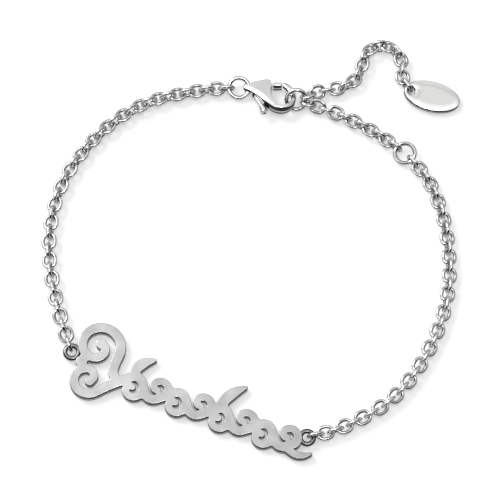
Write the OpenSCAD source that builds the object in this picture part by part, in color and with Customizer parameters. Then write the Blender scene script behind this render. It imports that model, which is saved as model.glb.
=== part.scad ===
/* [Plate] */
// Thickness of the plate
plate_t = 1.5; // [1.2:0.1:1.8]
// Distance between the centres of the two eyes
eye_span = 39.6; // [38:0.1:41]
// Turn of the plate on the table, seen from above
plate_turn = -20.8; // [-25:0.1:-15]
// Outer diameter of a soldered eye
eye_d = 2.8; // [2.6:0.05:3]
// Hole of a soldered eye
eye_hole_d = 1.4; // [1.3:0.05:1.5]
// Thickness of a soldered eye
eye_t = 0.5; // [0.4:0.05:0.6]

/* [Chain] */
// Outer length of a link
link_l = 2.96; // [2.9:0.02:3.1]
// Outer width of a link
link_w = 2.56; // [2.5:0.02:2.7]
// Wire of a link
link_wire = 0.58; // [0.5:0.02:0.6]
// Links from the plate to the clasp ring
left_links = 39; // [37:2:41]
// Links from the end ring to the sizing ring
upper_links = 11; // [9:2:13]
// Links from the sizing ring to the plate
lower_links = 37; // [35:2:39]
// Links of the extension chain
extender_links = 17; // [15:2:19]

/* [Rings] */
// Outer diameter of each jump ring
ring_d = 3.9; // [3.8:0.05:4.1]
// Wire of each jump ring
ring_wire = 0.68; // [0.6:0.02:0.7]

/* [Clasp] */
// Height of the clasp's wide part
clasp_t = 2.2; // [2:0.1:2.4]
// Height of the slot that holds the lever
slot_t = 1.0; // [0.9:0.05:1.1]
// Wire of the bow at its tip
bow_tip_d = 0.92; // [0.8:0.02:1]
// Height of the bow at its heel
bow_heel_t = 1.9; // [1.4:0.05:2]
// Diameter of the hidden pin
pin_d = 0.6; // [0.5:0.05:0.7]
// Running clearance round the pin
pin_gap = 0.04; // [0.02:0.01:0.06]

/* [Tag] */
// Length of the tag
tag_l = 9.2; // [8:0.1:10]
// Width of the tag
tag_w = 5; // [4:0.1:6]
// Thickness of the tag
tag_t = 0.9; // [0.7:0.05:1.1]
// Hole of the tag
tag_hole_d = 1.25; // [1.1:0.05:1.4]
// Metal between the tag's hole and its end
tag_rim = 0.5; // [0.5:0.05:0.7]

/* [Hidden] */
$fn = 48;
metal = [0.80, 0.80, 0.82];
soft_metal = [0.88, 0.88, 0.88];

// The middle of the whole bracelet on the table
middle = [0.347, 0.291];

// Places on the table, from above
eye_left = [-28.2, -17.7];
eye_right = eye_left + eye_span * [cos(plate_turn), sin(plate_turn)];
eye_top = plate_t;
clasp_at = [2.15, 26.4, 1.4];
clasp_tilt = 12;
end_ring_at = [7.45, 25.28, 1.46];
end_ring_tilt = 36.6;
sizing_ring_at = [24.9, 16, 1.2];
sizing_ring_turn = -42;
sizing_ring_tilt = 12;
tag_turn = -13.4;
tag_tilt = 5.7;
tag_hole_at = [26.12, 26.8, 1.25];

// Sizes that follow from the wire
link_r = (link_w - link_wire) / 2;
link_half = (link_l - link_w) / 2;
ring_r = (ring_d - ring_wire) / 2;
ring_bite = ring_r - 0.38;
eye_bite = eye_hole_d / 2 - 0.08;
tag_bite = tag_hole_d / 2 - 0.16;
upper_side = 0.4;
extender_side = 0.4;

// The clasp lies tilted, with the knob's side up, and its tail carries the clasp ring
tail_at = [-2.85, 1.1];
tail_bore_x = -2.44;
function of_clasp(p) =
    clasp_at + [p.x, p.y * cos(clasp_tilt) + p.z * sin(clasp_tilt), p.z * cos(clasp_tilt) - p.y * sin(clasp_tilt)];
clasp_ring_at = of_clasp([tail_bore_x, tail_at.y, 0]) - [ring_r, 0, 0];
clasp_ring_tilt = 16;

// A point at a distance and a direction from another
function aside(from, reach, turn) = [from.x + reach * cos(turn), from.y + reach * sin(turn)];

// Where each chain starts and ends
left_start = aside(eye_left, eye_bite, 113);
left_end = aside(clasp_ring_at, ring_bite, 183);
upper_start = [end_ring_at.x + ring_bite - 0.04, end_ring_at.y - upper_side * cos(end_ring_tilt)];
upper_end = aside(sizing_ring_at, ring_bite, 140);
lower_start = aside(sizing_ring_at, ring_bite, -48);
lower_end = aside(eye_right, eye_bite, 22);
extender_start = [end_ring_at.x + ring_bite - 0.04, end_ring_at.y + extender_side * cos(end_ring_tilt)];
extender_end = aside(tag_hole_at, tag_bite, 128);

// Routes on the table: x, y, lift above the height at rest, lean of the upright links to the outside
left_route = [
    [left_start.x, left_start.y, 0, 4],
    [-31, -8.5, 0, 11],
    [-32.2, 1, 0, 13],
    [-30.3, 10.7, 0, 13],
    [-24.8, 19, 0, 13],
    [-17.3, 24.6, 0, 12],
    [-8.5, 26.9, 0, 4],
    [left_end.x, left_end.y, 0, -14],
];
upper_route = [
    [upper_start.x, upper_start.y, 0.18, -46],
    [14, 22.9, 0.01, -14],
    [19.6, 19.9, 0, 8],
    [upper_end.x, upper_end.y, 0, -4],
];
lower_route = [
    [lower_start.x, lower_start.y, 0, -4],
    [29, 10.5, 0, 8],
    [31.3, 2.5, 0, 13],
    [31.4, -7.5, 0, 13],
    [28.3, -17, 0, 13],
    [22.5, -25.2, 0, 12],
    [14.5, -30.1, 0, 8],
    [lower_end.x, lower_end.y, 0, 4],
];
extender_route = [
    [extender_start.x, extender_start.y, 0.79, -46],
    [11.44, 26.8, 0.24, -26],
    [14.4, 27.3, 0.02, -4],
    [16.9, 28.6, 0.02, 14],
    [18.1, 31, 0.02, 20],
    [18.9, 33.7, 0.02, 24],
    [21.4, 35, 0.02, 24],
    [23.9, 33.8, 0.02, 18],
    [24.8, 31.2, 0.02, 10],
    [24.52, 29.18, 0.16, 1],
    [extender_end.x, extender_end.y, 0.01, 6],
];

// Smooth curve through the rows of a route
function blend(a, b, c, d, t) =
    0.5 * (2 * b + (c - a) * t + (2 * a - 5 * b + 4 * c - d) * t * t + (3 * b - a - 3 * c + d) * t * t * t);
function smooth(rows, steps) = [
    for (i = [0 : len(rows) - 2], k = [0 : steps - 1])
        blend(rows[max(i - 1, 0)], rows[i], rows[i + 1], rows[min(i + 2, len(rows) - 1)], k / steps),
    rows[len(rows) - 1],
];
function gap(a, b) = norm([b.x - a.x, b.y - a.y]);
function run_of(p) = [for (i = 0, s = 0; i < len(p); s = s + (i + 1 < len(p) ? gap(p[i], p[i + 1]) : 0), i = i + 1) s];

// Height of the chain's centre line when its links touch the table at this lean
function rest_height(lean) = link_wire / 2 + link_r * max(cos(lean), sin(lean));

// The joints between links, evenly spaced along the route: x, y, z, lean
function joints_of(rows, links) =
    let (p = smooth(rows, 10), run = run_of(p), total = run[len(run) - 1])
    [for (k = [0 : links])
        let (row = [for (c = [0 : 3]) lookup(total * k / links, [for (i = [0 : len(p) - 1]) [run[i], p[i][c]]])])
        [row[0], row[1], rest_height(row[3]) + row[2], row[3]]];

// One link's surface: rings of wire round a slightly long loop
stations = 12;
wire_sides = 5;
function loop_point(a) = [link_half * sign(cos(a)) + link_r / cos(180 / stations) * cos(a), link_r / cos(180 / stations) * sin(a)];
function link_points(mid, along, side, normal) = [
    for (k = [0 : stations - 1], m = [0 : wire_sides - 1])
        let (a = (k + 0.5) * 360 / stations, b = m * 360 / wire_sides, c = loop_point(a))
        mid + along * (c.x + link_wire / 2 * cos(b) * cos(a)) + side * (c.y + link_wire / 2 * cos(b) * sin(a))
            + normal * link_wire / 2 * sin(b),
];
function link_faces(first) = [
    for (k = [0 : stations - 1], m = [0 : wire_sides - 1])
        let (k2 = (k + 1) % stations, m2 = (m + 1) % wire_sides)
        [first + k * wire_sides + m, first + k * wire_sides + m2, first + k2 * wire_sides + m2, first + k2 * wire_sides + m],
];

// A chain: upright and flat links in turn, each held by its two joints
module chain(rows, links) {
    joints = joints_of(rows, links);
    points = [
        for (i = [0 : links - 1])
            let (a = joints[i], b = joints[i + 1], p = [a.x, a.y, a.z], q = [b.x, b.y, b.z],
                 along = (q - p) / norm(q - p), lean = (a[3] + b[3]) / 2,
                 out = cross([0, 0, 1], along) / norm(cross([0, 0, 1], along)), up = cross(along, out),
                 upright = up * cos(lean) + out * sin(lean), flat = out * cos(lean) - up * sin(lean))
            each (i % 2 == 0
                ? link_points((p + q) / 2, along, upright, -flat)
                : link_points((p + q) / 2, along, flat, upright)),
    ];
    faces = [for (i = [0 : links - 1]) each link_faces(i * stations * wire_sides)];
    polyhedron(points, faces, convexity = 10);
}

// The origin is under the middle of the whole
module on_table() {
    translate([-middle.x, -middle.y, 0])
        children();
}

// Pen strokes of the plate, in its own frame: the left eye is at 0, 0 and the right eye on the x axis
function unit(v) = v / norm(v);
module stroke(p) {
    last = len(p) - 1;
    ahead = [for (i = [0 : last]) unit([p[min(i + 1, last)].x - p[max(i - 1, 0)].x, p[min(i + 1, last)].y - p[max(i - 1, 0)].y])];
    left = [for (i = [0 : last]) [p[i].x - ahead[i].y * p[i].z / 2, p[i].y + ahead[i].x * p[i].z / 2]];
    right = [for (i = [0 : last]) [p[i].x + ahead[i].y * p[i].z / 2, p[i].y - ahead[i].x * p[i].z / 2]];
    for (i = [0 : last - 1])
        polygon([left[i], right[i], right[i + 1], left[i + 1]]);
    for (i = [0, last])
        translate([p[i].x, p[i].y]) circle(d = p[i].z, $fn = 16);
}

// The vine: a wave that carries a curl in each of its bends
vine_x = 9.2;
vine_y = -1.6;
vine_step = 3.62;
vine_bends = 8;
vine_rise = 1.35;
vine_pen = 1.45;
slant = 0.2;
function slanted(p) = [p.x + slant * (p.y - vine_y), p.y, p.z];
module vine() {
    stroke([for (x = [0 : 0.42 : vine_bends * vine_step + 0.2])
        slanted([vine_x + x, vine_y + vine_rise * sin(180 * x / vine_step), vine_pen])]);
}

// A spiral pen stroke: it starts wide at the angle from, winds inwards to the angle to, and ends in a bead
module spiral(at, r_out, r_in, from, to, pen, bead, ease = 1.6, step = 20) {
    turns = abs(to - from);
    function spot(a) =
        let (t = a / turns, r = r_out - (r_out - r_in) * pow(t, ease), b = from + sign(to - from) * a)
        [at.x + r * cos(b), at.y + r * sin(b), pen * (1 - 0.25 * t)];
    stroke([for (a = [0 : step : turns]) spot(a)]);
    translate([spot(turns).x, spot(turns).y]) circle(d = bead, $fn = 16);
}

// A curl leaves the vine at the end of its bend and winds back into the bend
module curl(bend) {
    side = bend % 2 == 0 ? 1 : -1;
    centre = slanted([vine_x + (bend + 1) * vine_step - 1.6, vine_y - side * 0.72, 0]);
    spiral(centre, 1.8, 0.3, side * 28, -side * 275, 1.3, 1.15, 1.2);
}

// The heart scroll at the left: a large volute above, a smaller one below and a drop between them
upper_volute = [3.65, 2.3];
lower_volute = [4, -3.25];
module heart_scroll() {
    spiral(upper_volute, 3.6, 0.6, -15, 425, 1.65, 1.8, 1.5);
    stroke(smooth([[8.6, -2.2, 1.45], [7.3, -0.8, 1.5], [7.13, 1.37, 1.6]], 5));
    spiral(lower_volute, 2.55, 0.5, -48, -395, 1.5, 1.6, 1.5);
    stroke(smooth([[9.8, -1.2, 1.45], [7.7, -3, 1.5], [5.7, -5.15, 1.5]], 5));
    translate([2, -0.95]) circle(d = 1.9, $fn = 24);
}

// Solid leaves: x, y, width
tall_leaf_rows = [
    [24.9, -0.9, 1.1],
    [25.3, 0.8, 1.7],
    [26.3, 2.7, 1.7],
    [27.9, 4.3, 0.5],
];
small_leaf_rows = [
    [10.6, -0.3, 1.1],
    [10.6, 1, 1.7],
    [11.5, 2.4, 1.6],
    [13, 3.4, 0.4],
];
end_leaf_rows = [
    [37.4, -3, 1],
    [38.8, -3.3, 1.2],
    [40.2, -3, 0.9],
    [41.2, -2.2, 0.4],
];

module plate_outline() {
    vine();
    for (bend = [0 : vine_bends - 1])
        curl(bend);
    heart_scroll();
    for (rows = [tall_leaf_rows, small_leaf_rows, end_leaf_rows])
        stroke(smooth(rows, 4));
}

module name_plate() {
    color(metal) on_table()
        translate([eye_left.x, eye_left.y, 0])
            rotate(plate_turn)
                difference() {
                    union() {
                        linear_extrude(plate_t)
                            offset(delta = 0.01)
                                plate_outline();
                        for (x = [0, eye_span])
                            translate([x, 0, eye_top - eye_t])
                                cylinder(d = eye_d, h = eye_t);
                    }
                    for (x = [0, eye_span])
                        translate([x, 0, -1])
                            cylinder(d = eye_hole_d, h = plate_t + 2);
                }
}

module left_chain() {
    color(metal) on_table() chain(left_route, left_links);
}
module right_chain_upper() {
    color(metal) on_table() chain(upper_route, upper_links);
}
module right_chain_lower() {
    color(metal) on_table() chain(lower_route, lower_links);
}
module extender_chain() {
    color(metal) on_table() chain(extender_route, extender_links);
}

// A jump ring, tilted up at the side that its turn points to
module jump_ring(at, turn, tilt) {
    color(metal) on_table()
        translate(at)
            rotate(turn)
                rotate([tilt, 0, 0])
                    rotate_extrude()
                        translate([ring_r, 0])
                            circle(d = ring_wire);
}
module clasp_ring() {
    jump_ring(clasp_ring_at, 0, clasp_ring_tilt);
}
module end_ring() {
    jump_ring(end_ring_at, 0, end_ring_tilt);
}
module sizing_ring() {
    jump_ring(sizing_ring_at, sizing_ring_turn, sizing_ring_tilt);
}

// The clasp, in its own frame: x runs from the tail to the bow, z is 0 at half its height
pivot = [0.2, 0.6];
bow_at = [2.9, -0.8];
bow_reach = [2.38, 2.74];
tail_bore_d = 1.2;
gate_reach = 2.72;
pin_l = clasp_t - 0.5;
module tilted() {
    translate(clasp_at)
        rotate([-clasp_tilt, 0, 0])
            children();
}

// The bow: its section is tall and thin at the heel and round at the tip
bow_from = -160;
bow_to = 84;
bow_rings = 16;
bow_sides = 12;
function bow_half_width(t) = bow_tip_d / 2 - 0.17 * pow(1 - t, 1.2);
function bow_half_height(t) = bow_tip_d / 2 + (bow_heel_t - bow_tip_d) / 2 * pow(1 - t, 2.5);
module bow() {
    points = [
        for (k = [0 : bow_rings - 1], m = [0 : bow_sides - 1])
            let (t = k / (bow_rings - 1), a = bow_from + (bow_to - bow_from) * t, b = m * 360 / bow_sides,
                 w = bow_half_width(t), in = w - w * cos(b))
            [bow_at.x + (bow_reach.x - in) * cos(a), bow_at.y + (bow_reach.y - in) * sin(a), bow_half_height(t) * sin(b)],
    ];
    faces = concat(
        [[for (m = [bow_sides - 1 : -1 : 0]) m]],
        [[for (m = [0 : bow_sides - 1]) (bow_rings - 1) * bow_sides + m]],
        [for (k = [0 : bow_rings - 2], m = [0 : bow_sides - 1])
            [k * bow_sides + m, k * bow_sides + (m + 1) % bow_sides,
             (k + 1) * bow_sides + (m + 1) % bow_sides, (k + 1) * bow_sides + m]]
    );
    polyhedron(points, faces, convexity = 4);
}

// The wide part: a flat facet that slopes down to the tail and the edges
module wide_part() {
    hull() {
        translate([0, 0, -clasp_t / 2])
            linear_extrude(clasp_t)
                polygon([[-0.8, 0.95], [1, 1.4], [0.95, -0.3], [0.6, -1.8]]);
        for (c = [[tail_at.x, tail_at.y, 0.55], [0.7, 1.85, 0.4], [1.35, -1.55, 1.1]])
            translate([c.x, c.y, -0.9])
                cylinder(r = c.z, h = 1.8, $fn = 32);
    }
}

// The space inside the clasp that the ring is hooked into
module hook_space() {
    translate([0, 0, -clasp_t])
        linear_extrude(2 * clasp_t)
            hull() {
                translate([2.75, -1]) scale([1, 1.15]) circle(r = 1.35);
                translate([1.75, 0.6]) circle(r = 0.55);
                translate([2.9, 1.7]) circle(r = 0.7);
                translate([1.75, 2.8]) circle(r = 0.55);
            }
}

// The slot that the lever swings in
module lever_slot() {
    translate([0, 0, -slot_t / 2])
        linear_extrude(slot_t)
            polygon([[-0.9, 1.3], [-0.4, 3.2], [2.2, 3.2], [2.2, -0.1], [1.2, -0.9], [0.85, -1.6], [0.8, -4.5],
                     [-3.2, -4.5], [-2.1, 0], [-1.5, 0.35]]);
}

module clasp_body() {
    color(metal) on_table()
        difference() {
            tilted() {
                difference() {
                    union() {
                        difference() {
                            wide_part();
                            hook_space();
                        }
                        bow();
                    }
                    lever_slot();
                    translate([pivot.x, pivot.y, -pin_l / 2 - 0.01])
                        cylinder(d = pin_d + 0.02, h = pin_l + 0.02);
                }
            }
            translate(clasp_ring_at)
                rotate([clasp_ring_tilt, 0, 0])
                    translate([ring_r - 0.05, 0, 0])
                        rotate([90, 0, 0])
                            cylinder(d = tail_bore_d, h = 5, center = true);
        }
}

// The lever: gate, hub and thumb knob
lever_t = slot_t - 0.16;
knob_d = 1;
module clasp_lever() {
    color(metal) on_table() tilted()
        difference() {
            union() {
                translate([pivot.x, pivot.y, -lever_t / 2])
                    cylinder(r = 0.7, h = lever_t);
                translate([0, 0, -lever_t / 2])
                    linear_extrude(lever_t) {
                        polygon([[0.2, 0], [0.5, 1.3], [1.6, 1.85], [1.6, 1.2]]);
                        polygon([[-0.45, 0.5], [0.75, 0.3], [0.6, -1.6], [0.4, -2.5], [-0.35, -2.6], [-1.5, -1.15], [-1.45, -0.8]]);
                    }
                intersection() {
                    translate([1.45, 1.2, -0.6])
                        cube([2, 0.65, 1.2]);
                    translate([pivot.x, pivot.y, -1])
                        cylinder(r = gate_reach, h = 2);
                }
                translate([0, -2.3, 0])
                    rotate([90, 0, 3])
                        cylinder(d1 = 0.7 * knob_d, d2 = knob_d, h = 1.6);
            }
            translate([pivot.x, pivot.y, -clasp_t])
                cylinder(d = pin_d + 2 * pin_gap, h = 2 * clasp_t);
        }
}

module clasp_pin() {
    color(metal) on_table() tilted()
        translate([pivot.x, pivot.y, -pin_l / 2])
            cylinder(d = pin_d, h = pin_l);
}

// The tag lies with its far end on the table and its hole raised by the last link
module end_tag() {
    color(soft_metal) on_table()
        translate(tag_hole_at)
            rotate(tag_turn)
                rotate([0, tag_tilt, 0])
                    translate([0, 0, -tag_t / 2])
                        linear_extrude(tag_t)
                            difference() {
                                translate([tag_l / 2 - tag_rim - tag_hole_d / 2, 0])
                                    scale([tag_l / tag_w, 1])
                                        circle(d = tag_w);
                                circle(d = tag_hole_d);
                            }
}

name_plate();
left_chain();
right_chain_upper();
right_chain_lower();
extender_chain();
clasp_ring();
end_ring();
sizing_ring();
clasp_body();
clasp_lever();
clasp_pin();
end_tag();
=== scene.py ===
# %% [markdown]
# # A fine silver bracelet, dressed for its photograph
# The bracelet lies in an open loop on a pale table: a flat openwork plate in front, a cable chain
# round both sides, and at the back a small clasp that hooks into a ring, with a spare length of
# chain and an oval tag. The CAD frame is loaded first. It fixes where every piece is and how large
# it is; everything below only makes its surfaces finer and gives them their metal.

import math

import bmesh
import bpy
import numpy as np
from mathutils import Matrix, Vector


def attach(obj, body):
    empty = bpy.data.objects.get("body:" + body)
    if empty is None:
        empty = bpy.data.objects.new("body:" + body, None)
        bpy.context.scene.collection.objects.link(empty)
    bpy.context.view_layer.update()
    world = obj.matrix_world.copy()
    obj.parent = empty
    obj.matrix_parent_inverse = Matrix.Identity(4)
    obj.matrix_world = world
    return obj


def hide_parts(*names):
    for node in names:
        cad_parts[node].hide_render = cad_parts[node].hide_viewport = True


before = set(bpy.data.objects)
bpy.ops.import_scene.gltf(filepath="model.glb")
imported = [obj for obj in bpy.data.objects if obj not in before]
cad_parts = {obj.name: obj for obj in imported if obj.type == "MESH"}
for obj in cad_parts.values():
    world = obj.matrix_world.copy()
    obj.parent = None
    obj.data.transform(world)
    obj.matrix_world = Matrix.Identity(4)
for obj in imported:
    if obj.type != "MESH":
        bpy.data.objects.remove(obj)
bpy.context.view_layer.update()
scene = bpy.context.scene
MM = 0.001
print("nodes:", ", ".join(sorted(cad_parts)))

# %% [markdown]
# ## Camera
# A long lens far away keeps the links at the back as large as those in front, as in the photograph.
# The camera stands in front of the plate and looks down at 70 degrees, so the loop is seen almost
# in plan and a thin strip of every front wall still shows.

# %% Camera
LOOK_AT = np.array([-0.45, -0.46, 0.0]) * MM
DISTANCE = 500 * MM
ELEVATION = math.radians(70)
# focal length and sensor width, both in millimetres
LENS = 225
SENSOR = 36

camera_data = bpy.data.cameras.new("camera")
camera_data.lens = LENS
camera_data.sensor_width = SENSOR
camera = bpy.data.objects.new("camera", camera_data)
bpy.context.collection.objects.link(camera)
camera.location = LOOK_AT + DISTANCE * np.array([0, -math.cos(ELEVATION), math.sin(ELEVATION)])
camera.rotation_euler = (math.pi / 2 - ELEVATION, 0, 0)
scene.camera = camera
print("the picture is", round(DISTANCE / MM * SENSOR / LENS), "mm wide at the table")

# %% [markdown]
# ## Table and light
# Polished metal has no colour of its own: it shows what stands round it. So the room is planned as
# the metal will see it. Behind the bracelet and overhead the dome is bright. On the camera's side it
# is dark from the horizon up to about 65 degrees, and this dark part is what draws the black lines
# along the lower rims. All round, the last few degrees above the horizon are dark too, and the right
# side of the room has half the light of the left. The main light stands at the upper left: it whitens
# the rims that face it, and the shadows fall pale and soft to the lower right. The table is almost
# white to the eye, but greyer in reflections, as a sheet that glows from below looks in metal that
# lies on it.

# %% Table
scene.view_settings.view_transform = "Standard"
TABLE_SIZE = 3.0
# a hair's breadth under the bracelet, so that nothing lies in the same plane
TABLE_GAP = 0.05 * MM
# the paper's tones and its glow, as the eye sees them and as the metal mirrors them
PAPER = [(0.0, 0.86), (1.0, 0.90)]
PAPER_GLOW = 0.36
MIRRORED_PAPER = (0.24, 0.24, 0.25, 1)
MIRRORED_GLOW = 0.34


def nodes_of(owner):
    """The nodes and links of a material or a world, emptied."""
    owner.use_nodes = True
    owner.node_tree.nodes.clear()
    return owner.node_tree.nodes, owner.node_tree.links


def tone_ramp(nodes, steps):
    """A colour ramp with a step for every pair of a place and a tone, which is a grey or a colour."""
    ramp = nodes.new("ShaderNodeValToRGB")
    for place, _ in steps[1:-1]:
        ramp.color_ramp.elements.new(place)
    for element, (place, tone) in zip(ramp.color_ramp.elements, steps):
        element.position = place
        element.color = (*np.broadcast_to(tone, 3), 1)
    return ramp


def glowing_paper(nodes, links, strength):
    """Matt paper plus a faint glow of its own: the paper's node, and the sum of the two."""
    paper = nodes.new("ShaderNodeBsdfDiffuse")
    glow = nodes.new("ShaderNodeEmission")
    glow.inputs["Strength"].default_value = strength
    both = nodes.new("ShaderNodeAddShader")
    links.new(paper.outputs["BSDF"], both.inputs[0])
    links.new(glow.outputs["Emission"], both.inputs[1])
    return paper, both.outputs["Shader"]


def table_material():
    """Glowing paper with faint clouds in its tone. Rays that come from a reflection meet a darker
    paper instead."""
    material = bpy.data.materials.new("table_paper")
    nodes, links = nodes_of(material)
    out = nodes.new("ShaderNodeOutputMaterial")
    place = nodes.new("ShaderNodeTexCoord")
    clouds = nodes.new("ShaderNodeTexNoise")
    clouds.inputs["Scale"].default_value = 6.0
    ramp = tone_ramp(nodes, PAPER)
    paper, seen = glowing_paper(nodes, links, PAPER_GLOW)
    grey_paper, mirrored = glowing_paper(nodes, links, MIRRORED_GLOW)
    grey_paper.inputs["Color"].default_value = MIRRORED_PAPER
    rays = nodes.new("ShaderNodeLightPath")
    either = nodes.new("ShaderNodeMixShader")
    links.new(place.outputs["Object"], clouds.inputs["Vector"])
    links.new(clouds.outputs["Fac"], ramp.inputs["Fac"])
    links.new(ramp.outputs["Color"], paper.inputs["Color"])
    links.new(rays.outputs["Is Glossy Ray"], either.inputs["Fac"])
    links.new(seen, either.inputs[1])
    links.new(mirrored, either.inputs[2])
    links.new(either.outputs["Shader"], out.inputs["Surface"])
    return material


half = TABLE_SIZE / 2
corners = np.array([[-half, -half, 0], [half, -half, 0], [half, half, 0], [-half, half, 0]])
table_mesh = bpy.data.meshes.new("table")
table_mesh.from_pydata(corners.tolist(), [], [[0, 1, 2, 3]])
table_mesh.materials.append(table_material())
table = bpy.data.objects.new("table", table_mesh)
bpy.context.collection.objects.link(table)
table.location.z = -TABLE_GAP
print("the table is", TABLE_SIZE, "m wide")

# %% The room's dome and its lights
# how far a direction points to the dark side, as a cosine, and the dome's brightness there
DARK_SIDE = (0.30, -0.95, 0.0)
DOME = [(-1.0, 0.50), (-0.60, 0.76), (-0.36, 0.58), (-0.32, 0.60), (-0.27, 0.78), (-0.15, 0.84),
        (0.08, 1.15), (0.22, 1.0), (0.33, 0.35), (0.40, 0.01), (1.0, 0.005)]
# the sine of a direction's height above the horizon, and its share of the dome's light
HORIZON = [(0.0, 0.04), (0.14, 0.06), (0.30, 0.80), (0.42, 1.0)]
# how far a direction points to the right, and its share of the light
RIGHT_SIDE = [(0.0, 1.0), (0.48, 1.0), (0.60, 0.45), (1.0, 0.45)]
world = bpy.data.worlds.new("studio")
scene.world = world
world_nodes, world_links = nodes_of(world)
direction = world_nodes.new("ShaderNodeTexCoord")
towards = world_nodes.new("ShaderNodeVectorMath")
towards.operation = "DOT_PRODUCT"
towards.inputs[1].default_value = DARK_SIDE
spread = world_nodes.new("ShaderNodeMapRange")
spread.inputs["From Min"].default_value = -1.0
dome = tone_ramp(world_nodes, [((side + 1) / 2, tone) for side, tone in DOME])
axes = world_nodes.new("ShaderNodeSeparateXYZ")
background = world_nodes.new("ShaderNodeBackground")
world_out = world_nodes.new("ShaderNodeOutputWorld")
world_links.new(direction.outputs["Generated"], towards.inputs[0])
world_links.new(towards.outputs["Value"], spread.inputs["Value"])
world_links.new(spread.outputs["Result"], dome.inputs["Fac"])
world_links.new(direction.outputs["Generated"], axes.inputs[0])
brightness = dome.outputs["Color"]
for axis, steps in (("Z", HORIZON), ("X", RIGHT_SIDE)):
    shade = tone_ramp(world_nodes, steps)
    product = world_nodes.new("ShaderNodeVectorMath")
    product.operation = "MULTIPLY"
    world_links.new(axes.outputs[axis], shade.inputs["Fac"])
    world_links.new(brightness, product.inputs[0])
    world_links.new(shade.outputs["Color"], product.inputs[1])
    brightness = product.outputs["Vector"]
world_links.new(brightness, background.inputs["Color"])
world_links.new(background.outputs["Background"], world_out.inputs["Surface"])

# name, place in metres, width in metres, power in watts
LIGHTS = [
    ("key_light", (-0.45, 0.38, 0.66), 0.44, 2.6),
    ("top_light", (0.05, -0.16, 0.88), 0.26, 1.2),
]
for name, place, width, power in LIGHTS:
    data = bpy.data.lights.new(name, "AREA")
    data.shape = "DISK"
    data.size = width
    data.energy = power
    light = bpy.data.objects.new(name, data)
    light.location = place
    light.rotation_euler = Vector(place).to_track_quat("Z", "Y").to_euler()
    bpy.context.collection.objects.link(light)
print(len(LIGHTS), "lights under a dome with", len(DOME), "steps of tone")

# %% [markdown]
# ## The metal
# Every piece is silver. Worn silver that was polished by hand isn't a perfect mirror: its surface
# waves slightly over a millimetre or two, and it has hair-fine scratches that spread the highlights.
# Both are worked out once in a node group, which puts out a height and a roughness, and each
# material places the group with its own values.

# %% Helpers for node groups
def new_group(name, inputs, outputs):
    """A node group with number sockets, inputs with their values and outputs by name. Returns it with
    its nodes, its links, its input node and its output node."""
    group = bpy.data.node_groups.new(name, "ShaderNodeTree")
    for label, value in inputs.items():
        socket = group.interface.new_socket(label, in_out="INPUT", socket_type="NodeSocketFloat")
        socket.default_value = value
    for label in outputs:
        group.interface.new_socket(label, in_out="OUTPUT", socket_type="NodeSocketFloat")
    nodes = group.nodes
    return group, nodes, group.links, nodes.new("NodeGroupInput"), nodes.new("NodeGroupOutput")


def worked_out(nodes, links, operation, *values):
    """The result of one sum or product of other nodes' outputs."""
    node = nodes.new("ShaderNodeMath")
    node.operation = operation
    for value, socket in zip(values, node.inputs):
        links.new(value, socket)
    return node.outputs[0]


# %% The group for hand polish
# the scratches run along one slanting direction, in which their pattern is drawn out
SCRATCH_TURN = (0.3, 0.2, 0.6)
SCRATCH_STRETCH = (1.0, 0.08, 1.0)


def hand_polish_group():
    """Waves are slow noise, scratches are noise drawn out in one direction. Height adds both by their
    shares, Roughness is Smooth plus Worn times the scratches, and Tone is the waves alone."""
    group, nodes, links, inside, outside = new_group("hand_polish", {
        "Wave Size": 500.0, "Wave Share": 1.0, "Scratch Size": 3000.0, "Scratch Share": 0.3,
        "Smooth": 0.08, "Worn": 0.2}, ("Height", "Roughness", "Tone"))
    place = nodes.new("ShaderNodeTexCoord")
    waves = nodes.new("ShaderNodeTexNoise")
    waves.inputs["Detail"].default_value = 1.0
    stretch = nodes.new("ShaderNodeMapping")
    stretch.inputs["Rotation"].default_value = SCRATCH_TURN
    stretch.inputs["Scale"].default_value = SCRATCH_STRETCH
    scratches = nodes.new("ShaderNodeTexNoise")
    scratches.inputs["Detail"].default_value = 3.0
    links.new(place.outputs["Object"], waves.inputs["Vector"])
    links.new(inside.outputs["Wave Size"], waves.inputs["Scale"])
    links.new(place.outputs["Object"], stretch.inputs["Vector"])
    links.new(stretch.outputs["Vector"], scratches.inputs["Vector"])
    links.new(inside.outputs["Scratch Size"], scratches.inputs["Scale"])
    wave, scratch = waves.outputs["Fac"], scratches.outputs["Fac"]
    wave_part = worked_out(nodes, links, "MULTIPLY", wave, inside.outputs["Wave Share"])
    height = worked_out(nodes, links, "MULTIPLY_ADD", scratch,
                        inside.outputs["Scratch Share"], wave_part)
    rough = worked_out(nodes, links, "MULTIPLY_ADD", scratch,
                       inside.outputs["Worn"], inside.outputs["Smooth"])
    links.new(height, outside.inputs["Height"])
    links.new(rough, outside.inputs["Roughness"])
    links.new(wave, outside.inputs["Tone"])
    return group


hand_polish = hand_polish_group()
print("group:", hand_polish.name)

# %% [markdown]
# ## Painted light on the walls
# The walls carry painted reflection and painted shade in their colour: a painted dark reflection just
# under the edge, almost black, a painted reflection of the lit table lower down, and painted shade at
# the foot. Each piece carries an attribute, depth, that runs from 0 on its top face to 1 at its foot,
# and the group turns it into a tone. An attribute follows the surface, so it also holds on the tag,
# which doesn't lie level, and on a wire, where it marks the inside of the loop for painted shade.

# %% The group for the painted light on the walls
# share of the way from the wall's top to its foot, and the tone of painted reflection and shade there
WALL_PAINTED_LIGHT = [(0.0, 1.0), (0.005, 0.3), (0.03, 0.01), (0.52, 0.01),
              (0.60, 1.0), (0.72, 1.0), (0.80, 0.03), (1.0, 0.03)]


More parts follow.
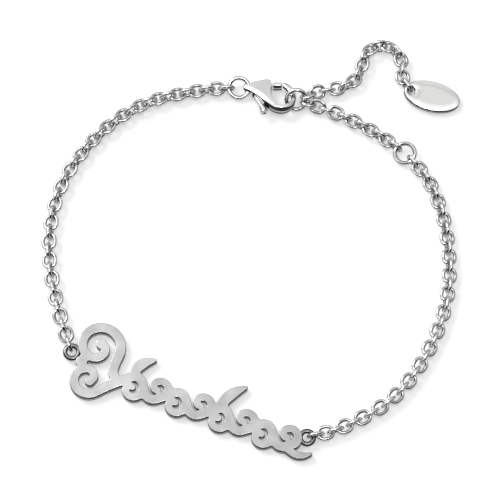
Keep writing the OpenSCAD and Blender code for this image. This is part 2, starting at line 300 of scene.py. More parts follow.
def wall_painted_light_group():
    """Tone is painted reflection and painted shade: a ramp over the depth between the shares Top and
    Foot, mixed with 1 by the share of painted light.
    """
    group, nodes, links, inside, outside = new_group(
        "wall_painted_light", {"Top": 0.1, "Foot": 1.0, "Painted Light Share": 1.0}, ("Tone",))
    depth = nodes.new("ShaderNodeAttribute")
    depth.attribute_name = "depth"
    share = nodes.new("ShaderNodeMapRange")
    bands = tone_ramp(nodes, WALL_PAINTED_LIGHT)
    mixed = nodes.new("ShaderNodeMix")
    mixed.inputs["A"].default_value = 1.0
    links.new(depth.outputs["Fac"], share.inputs["Value"])
    links.new(inside.outputs["Top"], share.inputs["From Min"])
    links.new(inside.outputs["Foot"], share.inputs["From Max"])
    links.new(share.outputs["Result"], bands.inputs["Fac"])
    links.new(inside.outputs["Painted Light Share"], mixed.inputs["Factor"])
    links.new(bands.outputs["Color"], mixed.inputs["B"])
    links.new(mixed.outputs["Result"], outside.inputs["Tone"])
    return group


wall_painted_light = wall_painted_light_group()
print("group:", wall_painted_light.name)

# %% [markdown]
# ## Four finishes from two groups
# The chain is drawn wire and almost a mirror. The clasp is cast and polished. The plate is tumbled,
# so its flat face is a little softer and more clouded, and painted shade darkens it towards its right
# end. The tag has a satin face. Each finish is one Principled BSDF with full metal.

# %% The finishes
BUMP_HEIGHT = 0.05 * MM
# the noise seldom leaves this range, so the tones are spread over it
NOISE_LOW, NOISE_HIGH = 0.3, 0.7
# where the painted shade that darkens a piece towards its right starts and ends
RIGHT_SHADE_FROM, RIGHT_SHADE_TO = -22 * MM, 10 * MM


def times(nodes, links, colour, factor):
    """A colour times a number, by way of a vector."""
    product = nodes.new("ShaderNodeVectorMath")
    product.operation = "SCALE"
    links.new(colour, product.inputs[0])
    links.new(factor, product.inputs["Scale"])
    return product.outputs["Vector"]


def placed(nodes, group, values):
    """A group's node with its own values."""
    node = nodes.new("ShaderNodeGroup")
    node.node_tree = group
    for label, value in values.items():
        node.inputs[label].default_value = value
    return node


def silver(name, dark, light, waves, scratches, strength, smooth, worn, wall, right_shade=1.0):
    """Silver whose tone runs from dark to light with the slow waves. waves and scratches are cycles
    per metre with their share of the height, strength is the bump's, and the roughness is smooth
    plus up to worn. wall gives the depths where the painted reflection and shade on a wall start and
    end and how strongly they are painted, and the last argument is the tone of painted shade at the
    piece's right end."""
    material = bpy.data.materials.new(name)
    nodes, links = nodes_of(material)
    out = nodes.new("ShaderNodeOutputMaterial")
    shader = nodes.new("ShaderNodeBsdfPrincipled")
    shader.inputs["Metallic"].default_value = 1.0
    polish = placed(nodes, hand_polish, {
        "Wave Size": waves[0], "Wave Share": waves[1], "Scratch Size": scratches[0],
        "Scratch Share": scratches[1], "Smooth": smooth, "Worn": worn})
    sides = placed(nodes, wall_painted_light, dict(zip(("Top", "Foot", "Painted Light Share"), wall)))
    ramp = tone_ramp(nodes, [(NOISE_LOW, dark), (NOISE_HIGH, light)])
    bump = nodes.new("ShaderNodeBump")
    bump.inputs["Strength"].default_value = strength
    bump.inputs["Distance"].default_value = BUMP_HEIGHT
    links.new(polish.outputs["Tone"], ramp.inputs["Fac"])
    tone = ramp.outputs["Color"]
    # painted shade: the tone falls off towards the piece's right end
    if right_shade < 1:
        place = nodes.new("ShaderNodeTexCoord")
        across = nodes.new("ShaderNodeSeparateXYZ")
        right_shading = nodes.new("ShaderNodeMapRange")
        right_shading.inputs["From Min"].default_value = RIGHT_SHADE_FROM
        right_shading.inputs["From Max"].default_value = RIGHT_SHADE_TO
        right_shading.inputs["To Min"].default_value = 1.0
        right_shading.inputs["To Max"].default_value = right_shade
        links.new(place.outputs["Object"], across.inputs[0])
        links.new(across.outputs["X"], right_shading.inputs["Value"])
        tone = times(nodes, links, tone, right_shading.outputs["Result"])
    # painted reflection and painted shade on the walls darken the tone by depth
    tone = times(nodes, links, tone, sides.outputs["Tone"])
    links.new(tone, shader.inputs["Base Color"])
    links.new(polish.outputs["Roughness"], shader.inputs["Roughness"])
    links.new(polish.outputs["Height"], bump.inputs["Height"])
    links.new(bump.outputs["Normal"], shader.inputs["Normal"])
    links.new(shader.outputs["BSDF"], out.inputs["Surface"])
    return material


# each wall value gives where the painted reflection and shade on a finish's walls start and end, and how
# strong they are
drawn_wire = silver("drawn_wire", 0.86, 0.94, (900.0, 0.6), (9000.0, 0.15),
                    strength=0.25, smooth=0.05, worn=0.10, wall=(0.0, 1.0, 0.45))
cast_silver = silver("cast_silver", 0.95, 0.99, (350.0, 1.0), (5000.0, 0.12),
                     strength=0.08, smooth=0.08, worn=0.10, wall=(0.07, 0.85, 0.95))
# the plate's last value is the tone of painted shade at its right end
plate_silver = silver("plate_silver", 0.74, 0.99, (350.0, 1.0), (5000.0, 0.12),
                      strength=0.16, smooth=0.13, worn=0.14, wall=(0.0, 1.0, 1.0), right_shade=0.78)
satin_silver = silver("satin_silver", (0.975, 0.97, 0.96), (0.99, 0.985, 0.975),
                      (300.0, 1.0), (6000.0, 0.25),
                      strength=0.02, smooth=0.17, worn=0.04, wall=(0.125, 1.0, 0.98))
print("finishes:", drawn_wire.name, cast_silver.name, plate_silver.name, satin_silver.name)

# %% [markdown]
# ## Helpers for surfaces
# Most shapes here are one of two kinds. A wire is a small circle carried round a closed loop. A flat
# piece with soft edges is an outline with a section carried along it, closed by two flat caps. Both
# are grids of points, so one helper that lists the faces of a grid serves them all.

# %% Grid and mesh helpers
def full_turn(count):
    """Angles that share a full turn evenly, from 0."""
    return np.arange(count) * 2 * np.pi / count


def grid_faces(rows, columns, closed=True):
    """Faces of a grid of points: each point with its next neighbours. Every row closes on itself, and
    the last row joins the first unless closed is False."""
    index = np.arange(rows * columns).reshape(rows, columns)
    down = np.roll(index, -1, axis=0)
    faces = np.stack([index, np.roll(index, -1, 1), np.roll(down, -1, 1), down], -1)
    return (faces if closed else faces[:-1]).reshape(-1, 4)


def face_outwards(mesh):
    """Turns the faces of a mesh's closed parts outwards."""
    shape = bmesh.new()
    shape.from_mesh(mesh)
    bmesh.ops.recalc_face_normals(shape, faces=shape.faces)
    shape.to_mesh(mesh)
    shape.free()


def new_piece(name, points, faces, material, body, node):
    """A smooth mesh object at the origin that rides on a body and stands for a CAD node."""
    mesh = bpy.data.meshes.new(name)
    mesh.from_pydata((points * MM).tolist(), [], faces.tolist())
    face_outwards(mesh)
    mesh.shade_smooth()
    mesh.materials.append(material)
    piece = bpy.data.objects.new(name, mesh)
    bpy.context.collection.objects.link(piece)
    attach(piece, body)
    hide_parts(node)
    return piece


def store_depth(piece, depth):
    """Keeps each point's depth below a piece's top, from 0 to 1, as an attribute, which places the
    painted reflection and painted shade.
    """
    attribute = piece.data.attributes.new("depth", "FLOAT", "POINT")
    attribute.data.foreach_set("value", depth.astype(np.float32))


def share_down(heights):
    """0 at the greatest of some heights, 1 at the least."""
    return (heights.max() - heights) / np.ptp(heights)


def mesh_points(mesh):
    """A mesh's points in millimetres."""
    points = np.empty(len(mesh.vertices) * 3)
    mesh.vertices.foreach_get("co", points)
    return points.reshape(-1, 3) / MM


def node_triangles(node):
    """A CAD node's triangles as an array of their three corners each, in millimetres."""
    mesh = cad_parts[node].data
    mesh.calc_loop_triangles()
    corners = np.empty(len(mesh.loop_triangles) * 3, int)
    mesh.loop_triangles.foreach_get("vertices", corners)
    return mesh_points(mesh)[corners].reshape(-1, 3, 3)


def merged(triangles):
    """The distinct points of loose triangles, and the triangles as indices of them."""
    rounded = np.round(triangles.reshape(-1, 3), 4)
    points, index = np.unique(rounded, axis=0, return_inverse=True)
    return points, index.reshape(-1, 3)


# %% [markdown]
# ## Chain links
# A cable chain is one wire loop after another, each turned a quarter from the last. The CAD node of
# a chain holds each link as a loose solid, so the links are found as groups of joined triangles.
# Each group's own directions of greatest and least spread give the link's length and its axis. A
# single link is then worked out once as a grid and placed on all of them with one array product,
# which is far quicker than copying objects and leaves one mesh for each chain. The inside of a loop
# is marked as lying deep, so painted shade darkens it.

# %% Find the links of a chain
LINK_L = 2.96
LINK_W = 2.56
LINK_WIRE = 0.58
LINK_STATIONS = 28
LINK_SIDES = 10
# how sharply the two halves of a link's circle are drawn apart
LINK_PULL = 2.2
# the cosines of the place on a wire's circle between which painted shade sets in, and how deep it then
# counts
INSIDE_SHADE_FROM, INSIDE_SHADE_TO = 0.14, 0.84
INSIDE_SHADE_DEPTH = 0.22


def link_places(node):
    """Centre and three axes of every loose solid: the label of a point is the least index that it is
    joined to, and the axes are those of its group's spread, longest first."""
    points, triangles = merged(node_triangles(node))
    labels = np.arange(len(points))
    while True:
        least = labels[triangles].min(axis=1)
        updated = labels.copy()
        np.minimum.at(updated, triangles.ravel(), np.repeat(least, 3))
        if np.array_equal(updated, labels):
            break
        labels = updated
    groups = [points[labels == label] for label in np.unique(labels)]
    centres = np.array([group.mean(axis=0) for group in groups])
    axes = np.array([np.linalg.svd(group - group.mean(axis=0))[2] for group in groups])
    return centres, axes


def link_loop():
    """Centre line of a link: a circle whose two halves are drawn apart along its length, by a share
    that rises with the cosine and soon reaches 1, so the circle's middle becomes a short straight."""
    turn = full_turn(LINK_STATIONS) + np.pi / LINK_STATIONS
    radius = (LINK_W - LINK_WIRE) / 2
    apart = (LINK_L - LINK_W) / 2 * np.clip(LINK_PULL * np.cos(turn), -1, 1)
    return np.stack([radius * np.cos(turn) + apart, radius * np.sin(turn), 0 * turn], -1)


def wire_round(loop, wire, sides, tall=1.0):
    """A wire along a flat closed loop: at each point a circle that is spanned by the loop's outward
    direction and the loop's normal, and is tall times as high as wide."""
    ahead = np.roll(loop, -1, axis=0) - np.roll(loop, 1, axis=0)
    ahead /= np.linalg.norm(ahead, axis=1, keepdims=True)
    normal = np.array([0.0, 0.0, 1.0])
    outward = np.cross(ahead, normal)
    turn = full_turn(sides)[:, None]
    circle = outward[:, None] * np.cos(turn) + tall * normal * np.sin(turn)
    return loop[:, None] + wire / 2 * circle


def painted_shade_inside(stations, sides):
    """How deep each point of a wire counts as lying, which places painted shade inside the loop: 0 round
    the outside of the loop and more inside, with a smooth step between, from the cosine of its place on
    the circle."""
    share = np.clip((-np.cos(full_turn(sides)) - INSIDE_SHADE_FROM) / (INSIDE_SHADE_TO - INSIDE_SHADE_FROM), 0, 1)
    return np.tile(INSIDE_SHADE_DEPTH * share ** 2 * (3 - 2 * share), stations)


# %% Build the chains
CHAINS = ["left_chain", "right_chain_upper", "right_chain_lower", "extender_chain"]
link_grid = wire_round(link_loop(), LINK_WIRE, LINK_SIDES)
link_points = link_grid.reshape(-1, 3)
link_faces = grid_faces(LINK_STATIONS, LINK_SIDES)
for node in CHAINS:
    centres, axes = link_places(node)
    points = (centres[:, None] + link_points @ axes).reshape(-1, 3)
    first = np.arange(len(centres))[:, None, None] * len(link_points)
    faces = (link_faces + first).reshape(-1, 4)
    chain = new_piece("links_" + node, points, faces, drawn_wire, "bracelet", node)
    # painted shade on the inside of every link
    store_depth(chain, np.tile(painted_shade_inside(LINK_STATIONS, LINK_SIDES), len(centres)))
    print(node, "has", len(centres), "links")

# %% [markdown]
# ## Jump rings
# The three rings are thicker wire bent into a circle, and the wire is a little taller than wide. The
# middle of the CAD ring's box is the ring's middle, and the direction of least spread of its points
# is the ring's axis.

# %% Rings
RING_D = 3.94
RING_WIRE = 0.68
RING_TALL = 1.2
RING_STATIONS = 72
RING_SIDES = 24


def circle_loop(diameter, stations):
    """A flat circle of points round the origin."""
    turn = full_turn(stations)
    return diameter / 2 * np.stack([np.cos(turn), np.sin(turn), 0 * turn], -1)


ring_line = circle_loop(RING_D - RING_WIRE, RING_STATIONS)
ring_points = wire_round(ring_line, RING_WIRE, RING_SIDES, RING_TALL).reshape(-1, 3)
ring_faces = grid_faces(RING_STATIONS, RING_SIDES)
for node in ("clasp_ring", "end_ring", "sizing_ring"):
    cloud = merged(node_triangles(node))[0]
    middle = (cloud.min(axis=0) + cloud.max(axis=0)) / 2
    axes = np.linalg.svd(cloud - middle, full_matrices=False)[2]
    ring = new_piece("wire_" + node, middle + ring_points @ axes, ring_faces, drawn_wire, "bracelet", node)
    # painted shade on the inside of the ring
    store_depth(ring, painted_shade_inside(RING_STATIONS, RING_SIDES))
    print(node, "stands at", np.round(middle, 2), "mm")

# %% [markdown]
# ## Flat pieces with soft edges
# The plate and the tag are flat silver with edges that tumbling has rounded. The outline is carried
# inwards in steps while its height rises along a quarter circle. Where the metal is narrow, such as
# at the tip of a leaf, a full step would fold over itself. So each point first finds the largest
# circle inside the outline that touches it, and never steps further than a share of its radius.

# %% Outlines
def smoothed(values, reach):
    """Gaussian mean round a closed row of values, with reach as its width in samples."""
    steps = np.arange(-int(3 * reach) - 1, int(3 * reach) + 2)
    weights = np.exp(-0.5 * (steps / reach) ** 2)
    weights /= weights.sum()
    return sum(w * np.roll(values, s, axis=0) for w, s in zip(weights, steps))


def evenly(loop, spacing):
    """A closed outline with its points spread evenly, measured along it."""
    closed = np.vstack([loop, loop[:1]])
    run = np.r_[0, np.cumsum(np.linalg.norm(np.diff(closed[:, :2], axis=0), axis=1))]
    count = max(12, int(round(run[-1] / spacing)))
    at = np.arange(count) * run[-1] / count
    return np.stack([np.interp(at, run, closed[:, axis]) for axis in range(loop.shape[1])], -1)


def inward(loop):
    """Unit normals that point to the left of the walk, which is into the metal."""
    ahead = np.roll(loop, -1, axis=0) - np.roll(loop, 1, axis=0)
    ahead /= np.linalg.norm(ahead, axis=1, keepdims=True)
    return np.stack([-ahead[:, 1], ahead[:, 0]], -1)


def room(loops, normals, block=400, hair=1e-6, endless=1e3):
    """Radius of the largest circle inside the outline that touches it at each point: over all other
    points q, the least of |q - p| squared over twice the part of q - p along the normal. A point
    that isn't in front of p counts as endlessly far. The work is done in blocks to save memory."""
    points = np.vstack(loops)
    facing = np.vstack(normals)
    radii = np.empty(len(points))
    for start in range(0, len(points), block):
        some = slice(start, start + block)
        apart = points - points[some, None]
        reach = (apart * facing[some, None]).sum(-1)
        square = (apart ** 2).sum(-1)
        radii[some] = np.where(reach > hair, square / (2 * np.maximum(reach, hair)), endless).min(1)
    return np.split(radii, np.cumsum([len(loop) for loop in loops])[:-1])


def walked_left(loop, is_hole):
    """The outline walked so that the metal is on its left: holes clockwise, the rim the other way."""
    x, y = loop[:, 0], loop[:, 1]
    area = (x * np.roll(y, -1) - np.roll(x, -1) * y).sum() / 2
    return loop[::-1] if (area > 0) == is_hole else loop


# %% The section and the caps
def carried(loop, normal, inset, level):
    """Points and side faces of a section carried along an outline. inset says how far each point of
    the section steps inwards at each point of the outline, and level says how high it lies."""
    flat = loop + inset[..., None] * normal
    grid = np.concatenate([flat, level[..., None]], -1)
    return grid.reshape(-1, 3), grid_faces(*inset.shape, closed=False)


def soft_slab(loops, profile, share=0.8):
    """Points, side faces and rims of a slab: the profile's rows (inset, height) are carried along each
    outline, with the inset scaled down where the metal is narrow. A rim is the first point of the
    lower edge, the first of the upper edge, and how many points each has."""
    normals = [inward(loop) for loop in loops]
    deepest = profile[:, 0].max()
    points, faces, rims, first = [], [], [], 0
    for loop, normal, radius in zip(loops, normals, room(loops, normals)):
        scale = np.minimum(1, share * smoothed(np.minimum(radius, 3 * deepest), 2) / deepest)
        inset = profile[:, 0, None] * scale
        skin, sides = carried(loop, normal, inset, np.broadcast_to(profile[:, 1, None], inset.shape))
        points.append(skin)
        faces.append(sides + first)
        rims.append((first, first + len(skin) - len(loop), len(loop)))
        first += len(skin)
    return np.vstack(points), np.vstack(faces), rims


def capped(mesh, rims):
    """Closes the lower and upper rims of a piece's skin with flat faces, which stay unsmoothed."""
    shape = bmesh.new()
    shape.from_mesh(mesh)
    shape.verts.ensure_lookup_table()
    for face in shape.faces:
        face.smooth = True
    for level in (0, 1):
        edges = []
        for *starts, count in rims:
            ring = [shape.verts[starts[level] + i] for i in range(count)]
            edges += [shape.edges.get((ring[i - 1], ring[i])) for i in range(count)]
        made = bmesh.ops.triangle_fill(shape, edges=edges, use_beauty=True)
        for face in made["geom"]:
            if isinstance(face, bmesh.types.BMFace):
                face.smooth = False
    bmesh.ops.recalc_face_normals(shape, faces=shape.faces)
    shape.to_mesh(mesh)
    shape.free()


def quarter_profile(thickness, top_edge, bottom_edge, steps=5, flat_step=0.12):
    """Rows (inset, height) from the lower cap's rim to the upper one: a quarter round, the upright
    wall, a quarter round and a last flat step, which is a share of the upper edge's width."""
    turn = np.linspace(0, np.pi / 2, steps)
    low = np.stack([bottom_edge * (1 - np.sin(turn)), bottom_edge * (1 - np.cos(turn))], -1)
    high = np.stack([top_edge * (1 - np.cos(turn)), thickness - top_edge * (1 - np.sin(turn))], -1)
    return np.vstack([low, high, [[top_edge * (1 + flat_step), thickness]]])


# %% [markdown]
# ## The openwork plate
# The plate is sawn from sheet and its scrolls are one connected line of metal. Its outline is read
# from the underside of the CAD plate, where the two soldered eyes don't reach, as the edges that
# only one triangle uses. A light smoothing takes the corners off the outline, as the polisher's
# wheel does on the real one. The eyes are flat rings of their own that meet the plate's ends.

# %% Read the plate's outline
def flat_outlines(node, level, slack=0.002):
    """Closed outlines of a node's flat face at a height: edges that are used once, joined in turn."""
    points, triangles = merged(node_triangles(node))
    face = triangles[np.abs(points[triangles][:, :, 2] - level).max(axis=1) < slack]
    edges = np.concatenate([face[:, [0, 1]], face[:, [1, 2]], face[:, [2, 0]]])
    key = np.sort(edges, axis=1)
    _, index, count = np.unique(key, axis=0, return_inverse=True, return_counts=True)
    once = edges[count[index.ravel()] == 1]
    following = dict(zip(once[:, 0].tolist(), once[:, 1].tolist()))
    loops = []
    while following:
        start, here = following.popitem()
        loop = [start]
        while here != start:
            loop.append(here)
            here = following.pop(here)
        loops.append(points[loop][:, :2])
    return sorted(loops, key=lambda loop: -np.ptp(loop[:, 0]))


PLATE_T = 1.5
PLATE_SPACING = 0.12
# how far the wheel's smoothing reaches, in outline points, and the fewest corners of a real opening
PLATE_SOFTNESS = 2.4
FEWEST_CORNERS = 6
raw_outlines = flat_outlines("name_plate", 0.0)
plate_loops = [walked_left(smoothed(evenly(loop, PLATE_SPACING), PLATE_SOFTNESS), k > 0)
               for k, loop in enumerate(raw_outlines) if len(loop) >= FEWEST_CORNERS]
outline_points = sum(map(len, plate_loops))
print("the plate has", len(plate_loops) - 1, "openings and", outline_points, "outline points")

# %% Build the plate
PLATE_TOP_EDGE = 0.08
PLATE_FOOT_EDGE = 0.06
EYE_D = 2.8
EYE_HOLE_D = 1.4
EYE_T = 0.8
EYE_STATIONS = 48
EYE_SIDES = 16
# below 1 it pushes the corners of the eye's section out, from a circle towards a box
EYE_ROUNDNESS = 0.55
EYE_SPAN = 39.6
PLATE_TURN = math.radians(-20.8)
LEFT_EYE = np.array([-28.547, -17.991])
right_eye = LEFT_EYE + EYE_SPAN * np.array([math.cos(PLATE_TURN), math.sin(PLATE_TURN)])


def eye_ring(centre):
    """A flat ring: a rounded box section, width by height, carried round a circle."""
    turn = full_turn(EYE_SIDES)
    circle = np.stack([np.cos(turn), np.sin(turn)], -1)
    section = np.sign(circle.round(6)) * np.abs(circle) ** EYE_ROUNDNESS
    around = full_turn(EYE_STATIONS)[:, None]
    reach = (EYE_D + EYE_HOLE_D) / 4 + (EYE_D - EYE_HOLE_D) / 4 * section[:, 0]
    level = PLATE_T - EYE_T / 2 + EYE_T / 2 * section[:, 1]
    x = centre[0] + reach * np.cos(around)
    y = centre[1] + reach * np.sin(around)
    return np.stack([x, y, np.broadcast_to(level, x.shape)], -1).reshape(-1, 3)


plate_profile = quarter_profile(PLATE_T, PLATE_TOP_EDGE, PLATE_FOOT_EDGE)
sheet_points, sheet_faces, sheet_rims = soft_slab(plate_loops, plate_profile)
eye_points = np.vstack([eye_ring(LEFT_EYE), eye_ring(right_eye)])
eye_faces = grid_faces(EYE_STATIONS, EYE_SIDES)
eye_faces = np.vstack([eye_faces, eye_faces + EYE_STATIONS * EYE_SIDES])
plate = new_piece("openwork_plate", np.vstack([sheet_points, eye_points]),
                  np.vstack([sheet_faces, eye_faces + len(sheet_points)]),
                  plate_silver, "bracelet", "name_plate")
# the depth places painted reflection and painted shade on the plate's walls and eyes
store_depth(plate, np.append(share_down(sheet_points[:, 2]), share_down(eye_points[:, 2])))
capped(plate.data, sheet_rims)
print("plate faces:", len(plate.data.polygons))

# %% [markdown]
# ## The oval tag
# The tag is a plain oval of satin silver that hangs on the last link. The same slab makes it: an
# ellipse and a round hole, with a low dome and a crisp edge over the upright wall. It is worked out
# flat, with its hole at the origin, and then turned into place as the CAD tag lies, with its far end
# on the table.

# %% Tag
TAG_L = 9.2
TAG_W = 5.0
TAG_HOLE_D = 1.32
TAG_RIM = 0.5
TAG_HOLE_AT = np.array([25.773, 26.509, 1.25])
TAG_TURN = math.radians(-13.4)
TAG_TILT = math.radians(4.8)
TAG_SPACING = 0.12
TAG_HOLE_SIDES = 64
# inset from the outline, and height above the middle: a foot, the wall, its edge and a low dome
TAG_PROFILE = np.array([
    [0.12, -0.55], [0.04, -0.53], [0.00, -0.48], [0.00, 0.36], [0.02, 0.39], [0.05, 0.41], [0.12, 0.425],
    [0.35, 0.47], [0.60, 0.515], [0.85, 0.54], [1.05, 0.549], [1.12, 0.55],
])


def turned(points, axis, angle):
    """Points turned about the x, y or z axis (0, 1 or 2) by the right-hand rule."""
    c, s = math.cos(angle), math.sin(angle)
    one, two = [(1, 2), (2, 0), (0, 1)][axis]
    out = points.copy()
    out[:, one] = c * points[:, one] - s * points[:, two]
    out[:, two] = s * points[:, one] + c * points[:, two]
    return out


round_tag = full_turn(400)
oval = np.stack([TAG_L / 2 - TAG_RIM - TAG_HOLE_D / 2 + TAG_L / 2 * np.cos(round_tag),
                 TAG_W / 2 * np.sin(round_tag)], -1)
hole = circle_loop(TAG_HOLE_D, TAG_HOLE_SIDES)[:, :2]
tag_loops = [walked_left(evenly(oval, TAG_SPACING), False), walked_left(hole, True)]
tag_points, tag_faces, tag_rims = soft_slab(tag_loops, TAG_PROFILE)
tag = new_piece("oval_tag", turned(turned(tag_points, 1, TAG_TILT), 2, TAG_TURN) + TAG_HOLE_AT,
                tag_faces, satin_silver, "bracelet", "end_tag")
# the depth places painted reflection and painted shade on the tag's wall
store_depth(tag, share_down(tag_points[:, 2]))
capped(tag.data, tag_rims)
print("tag faces:", len(tag.data.polygons))

# %% [markdown]
# ## The clasp
# A lobster clasp is cast: a wide body that narrows to a tail, and a bow that curls round like a
# claw. All of it fits in one closed outline. Each row of the table gives a point of that outline,
# half the metal's height there and the width of its bevel. One section, a steep wall with a bevel
# over it, is carried along the outline as for the plate, above and below the middle. On the bow the
# bevel takes nearly all of the metal's width, so the bow comes out round. Along the body's front it
# is a broad slope, and along its back it is narrow, which leaves a flat facet on top.

# %% Clasp frame and outline
CLASP_AT = np.array([1.803, 26.109, 1.4])
CLASP_TILT = math.radians(12)
CLASP_SPACING = 0.1
CLASP_STEPS = 8
# the most of the metal's half width that the bevel takes
CLASP_SHARE = 0.88
# x and y from above, half the height of the metal, and the width of its bevel
CLASP_ROWS = np.array([
    [-3.28, 0.96, 0.64, 0.44], [-2.96, 0.50, 0.70, 0.70], [-2.36, 0.08, 0.80, 0.86],
    [-1.43, -0.66, 0.92, 0.94], [-0.40, -1.60, 1.00, 0.92], [0.60, -2.48, 1.00, 0.84],
    [1.40, -3.10, 1.00, 0.72], [2.20, -3.46, 1.00, 0.62], [3.10, -3.54, 0.96, 0.56],
    [3.95, -3.28, 0.84, 0.52], [4.65, -2.68, 0.70, 0.48], [5.06, -1.84, 0.56, 0.44],
    [5.18, -0.90, 0.46, 0.40], [5.06, -0.02, 0.40, 0.40], [4.72, 0.80, 0.40, 0.40],
    [4.12, 1.45, 0.44, 0.40], [3.45, 1.84, 0.48, 0.38], [3.12, 1.78, 0.46, 0.30],
    [3.08, 1.32, 0.48, 0.30], [3.42, 0.88, 0.48, 0.34], [3.94, 0.32, 0.42, 0.32],
    [4.32, -0.45, 0.42, 0.28], [4.44, -1.22, 0.50, 0.20], [4.18, -2.04, 0.62, 0.14],
    [3.54, -2.58, 0.86, 0.12], [2.75, -2.66, 1.00, 0.12], [2.05, -2.30, 1.00, 0.12],
    [1.52, -1.62, 1.00, 0.12], [1.26, -0.88, 1.00, 0.12], [1.20, -0.10, 1.00, 0.12],
    [1.24, 0.72, 1.00, 0.12], [1.24, 1.50, 0.96, 0.12], [1.12, 2.06, 0.92, 0.12],
    [0.72, 2.30, 0.90, 0.16], [0.00, 2.24, 0.90, 0.20], [-1.00, 2.04, 0.88, 0.22],
    [-2.00, 1.84, 0.80, 0.24], [-2.74, 1.70, 0.70, 0.26], [-3.14, 1.44, 0.64, 0.30],
])


def spline_round(rows, steps):
    """Closed Catmull-Rom curve through the rows: a cubic between each two, from their neighbours."""
    a, b = np.roll(rows, 1, axis=0), rows
    c, d = np.roll(rows, -1, axis=0), np.roll(rows, -2, axis=0)
    t = (np.arange(steps) / steps)[None, :, None]
    a, b, c, d = (v[:, None] for v in (a, b, c, d))
    curve = 0.5 * (2 * b + (c - a) * t + (2 * a - 5 * b + 4 * c - d) * t ** 2
                   + (3 * b - a - 3 * c + d) * t ** 3)
    return curve.reshape(-1, rows.shape[1])


# share of the inset and of the half height, from the middle of the wall up to the rim of the facet
BEVEL_ROWS = np.array([
    [0.00, 0.00], [0.00, 0.28], [0.01, 0.50], [0.03, 0.64], [0.07, 0.74], [0.13, 0.81], [0.20, 0.85],
    [0.86, 0.975], [0.93, 0.988], [1.00, 0.996], [1.06, 1.00],
])


def bevelled_body(rows):
    """The clasp's skin and how deep each of its points lies: a bevelled section carried along the
    outline. The inset is the bevel's width, at most a share of the room, and the height is that of
    the outline's row times the section's."""
    outline = evenly(spline_round(rows, CLASP_STEPS), CLASP_SPACING)
    loop, half_height, bevel = outline[:, :2], outline[:, 2], outline[:, 3]
    normal = inward(loop)
    reach = smoothed(np.minimum(CLASP_SHARE * room([loop], [normal])[0], bevel), 3)
    inset, level = np.vstack([BEVEL_ROWS[:0:-1] * [1, -1], BEVEL_ROWS]).T[..., None]
    skin, sides = carried(loop, normal, inset * reach, level * smoothed(half_height, 3))
    rims = [(0, len(skin) - len(loop), len(loop))]
    return skin, sides, rims, np.repeat((1 - level) / 2, len(loop))


def clasp_to_table(points):
    """From the clasp's own frame to the table: tilted with the knob's side up, then set down."""
    return turned(points, 0, -CLASP_TILT) + CLASP_AT


skin, skin_faces, skin_rims, skin_depth = bevelled_body(CLASP_ROWS)
clasp = new_piece("clasp_shell", skin, skin_faces, cast_silver, "bracelet", "clasp_body")
# the depth places painted reflection and painted shade on the clasp's walls
store_depth(clasp, skin_depth)
capped(clasp.data, skin_rims)
print("clasp faces:", len(clasp.data.polygons))

# %% [markdown]
# ## Slot and bore
# The real body is hollow where the lever swings, and its tail is drilled for the ring. Both are cut
# from the skin with a Boolean, whose result becomes the piece's mesh, and the cutters are removed.
# The bore follows the ring, which leans on the table, so it counts the clasp's tilt too.

# %% Cut the slot and the bore
SLOT_T = 1.0
SLOT = np.array([[-0.9, 1.3], [-0.4, 3.2], [2.2, 3.2], [2.2, -0.1], [1.2, -0.9], [0.85, -1.6],
                 [0.8, -4.5], [-3.2, -4.5], [-2.2, 0.1], [-1.6, 0.45]])
BORE_D = 1.2
BORE_AT = np.array([-2.44, 1.1, 0])
BORE_REACH = 2.5
BORE_SIDES = 40
RING_LEAN = math.radians(16)


def prism(outline, low, high):
    """Points and faces of an upright prism: the outline at two heights, with its two ends."""
    count = len(outline)
    lower = np.column_stack([outline, np.full(count, low)])
    upper = np.column_stack([outline, np.full(count, high)])
    index = np.arange(count)
    after = np.roll(index, -1)
    walls = np.stack([index, after, after + count, index + count], -1).tolist()
    return np.vstack([lower, upper]), walls + [list(index[::-1]), list(index + count)]


def cut_out(piece, points, faces):
    """Takes a closed shape out of a piece and keeps the result as the piece's own mesh."""
    mesh = bpy.data.meshes.new("cutter")
    mesh.from_pydata((points * MM).tolist(), [], faces)
    face_outwards(mesh)
    cutter = bpy.data.objects.new("cutter", mesh)
    bpy.context.collection.objects.link(cutter)
    cut = piece.modifiers.new("cut", "BOOLEAN")
    cut.operation = "DIFFERENCE"
    cut.object = cutter
    cut.solver = "EXACT"
    result = bpy.data.meshes.new_from_object(piece.evaluated_get(bpy.context.evaluated_depsgraph_get()))
    piece.modifiers.clear()
    piece.data = result
    bpy.data.objects.remove(cutter)


slot_points, slot_faces = prism(SLOT, -SLOT_T / 2, SLOT_T / 2)
cut_out(clasp, slot_points, slot_faces)
bore_points, bore_faces = prism(circle_loop(BORE_D, BORE_SIDES)[:, :2], -BORE_REACH, BORE_REACH)
cut_out(clasp, turned(bore_points, 0, math.pi / 2 + RING_LEAN + CLASP_TILT) + BORE_AT, bore_faces)
on_table = clasp_to_table(mesh_points(clasp.data)) * MM
clasp.data.vertices.foreach_set("co", on_table.ravel())
clasp.data.update()
print("clasp faces after cutting:", len(clasp.data.polygons))

# %% [markdown]
# ## The lever
# The gate closes the claw and turns on a pin inside the body. It has three parts: a flat blade that
# runs in the slot, a taller bar that fills the gap of the claw, and a rod that comes out below the
# body and flares to a thumb knob with a dimple in its end. Blade and bar are soft slabs. The rod is
# a circle whose radius changes on its way along a bent line.

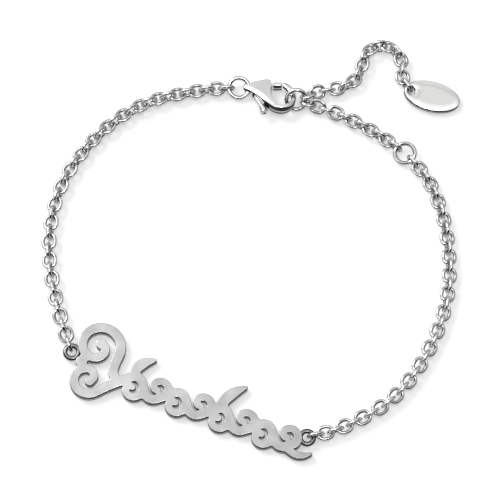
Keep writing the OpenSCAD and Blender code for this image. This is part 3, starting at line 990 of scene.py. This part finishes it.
# %% Lever
LEVER_EDGE = 0.16
LEVER_SPACING = 0.08
LEVER_STEPS = 6
BLADE_T = 0.84
BLADE_ROWS = np.array([
    [2.50, 1.16], [2.50, 1.62], [1.55, 1.70], [1.00, 1.60], [0.50, 1.42], [-0.05, 1.20], [-0.42, 0.85],
    [-0.90, 0.20], [-1.54, -0.56], [-1.58, -0.86], [-1.34, -1.20], [-0.92, -1.78], [-0.55, -2.24],
    [-0.10, -2.30], [0.20, -2.00], [0.48, -1.40], [0.72, -0.10], [1.05, 0.60], [1.55, 1.02], [2.00, 1.12],
])
BAR_T = 1.45
BAR_ROWS = np.array([[1.58, 1.06], [2.80, 1.08], [2.92, 1.20], [2.92, 1.56], [2.80, 1.70], [1.58, 1.70]])
# x, y, z and radius of the rod and its knob
ROD_ROWS = np.array([
    [-1.50, -0.80, 0.34, 0.00], [-1.48, -0.83, 0.34, 0.08], [-1.40, -0.94, 0.34, 0.13],
    [-1.20, -1.23, 0.33, 0.16], [-0.92, -1.66, 0.30, 0.20], [-0.64, -2.12, 0.22, 0.30],
    [-0.38, -2.58, 0.14, 0.42], [-0.16, -3.02, 0.06, 0.53], [-0.04, -3.36, 0.02, 0.60],
    [0.02, -3.58, 0.00, 0.62], [0.05, -3.72, 0.00, 0.61], [0.07, -3.80, 0.00, 0.52],
    [0.06, -3.77, 0.00, 0.38], [0.04, -3.64, 0.00, 0.28], [0.03, -3.61, 0.00, 0.00],
])
# how many of the last rows turn over the knob's edge and back into its dimple
DIMPLE_ROWS = 5
ROD_SIDES = 24


def flared_rod(rows):
    """A circle carried along a line: it stands across the way ahead as seen from above, its middle is
    at the row's height and its radius is the row's. The dimple's rows keep the knob's direction."""
    ahead = np.gradient(rows[:, :2], axis=0)
    ahead[-DIMPLE_ROWS:] = rows[-DIMPLE_ROWS, :2] - rows[-DIMPLE_ROWS - 2, :2]
    ahead /= np.linalg.norm(ahead, axis=1, keepdims=True)
    turn = full_turn(ROD_SIDES)
    across = rows[:, 3, None] * np.cos(turn)
    x = rows[:, 0, None] - ahead[:, 1, None] * across
    y = rows[:, 1, None] + ahead[:, 0, None] * across
    z = rows[:, 2, None] + rows[:, 3, None] * np.sin(turn)
    return np.stack([x, y, z], -1).reshape(-1, 3), grid_faces(len(rows), ROD_SIDES, closed=False)


def slab_of(rows, thickness):
    """A soft slab round a small closed curve, level with z = 0 at half its thickness."""
    loop = walked_left(evenly(spline_round(rows, LEVER_STEPS), LEVER_SPACING), False)
    points, faces, rims = soft_slab([loop], quarter_profile(thickness, LEVER_EDGE, LEVER_EDGE))
    return points - [0, 0, thickness / 2], faces, rims


blade, blade_faces, blade_rims = slab_of(BLADE_ROWS, BLADE_T)
bar, bar_faces, bar_rims = slab_of(BAR_ROWS, BAR_T)
rod, rod_faces = flared_rod(ROD_ROWS)
first_bar = len(blade)
first_rod = first_bar + len(bar)
lever = new_piece("lever_with_knob", clasp_to_table(np.vstack([blade, bar, rod])),
                  np.vstack([blade_faces, bar_faces + first_bar, rod_faces + first_rod]),
                  cast_silver, "lever", "clasp_lever")
# only the bar gets painted reflection and shade on its wall: the blade is hidden and the knob gets none
# all round
store_depth(lever, np.concatenate([np.zeros(len(blade)), share_down(bar[:, 2]), np.zeros(len(rod))]))
capped(lever.data, blade_rims)
capped(lever.data, [(low + first_bar, high + first_bar, count) for low, high, count in bar_rims])
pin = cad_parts["clasp_pin"]
pin.data.materials.clear()
pin.data.materials.append(drawn_wire)
print("lever faces:", len(lever.data.polygons))
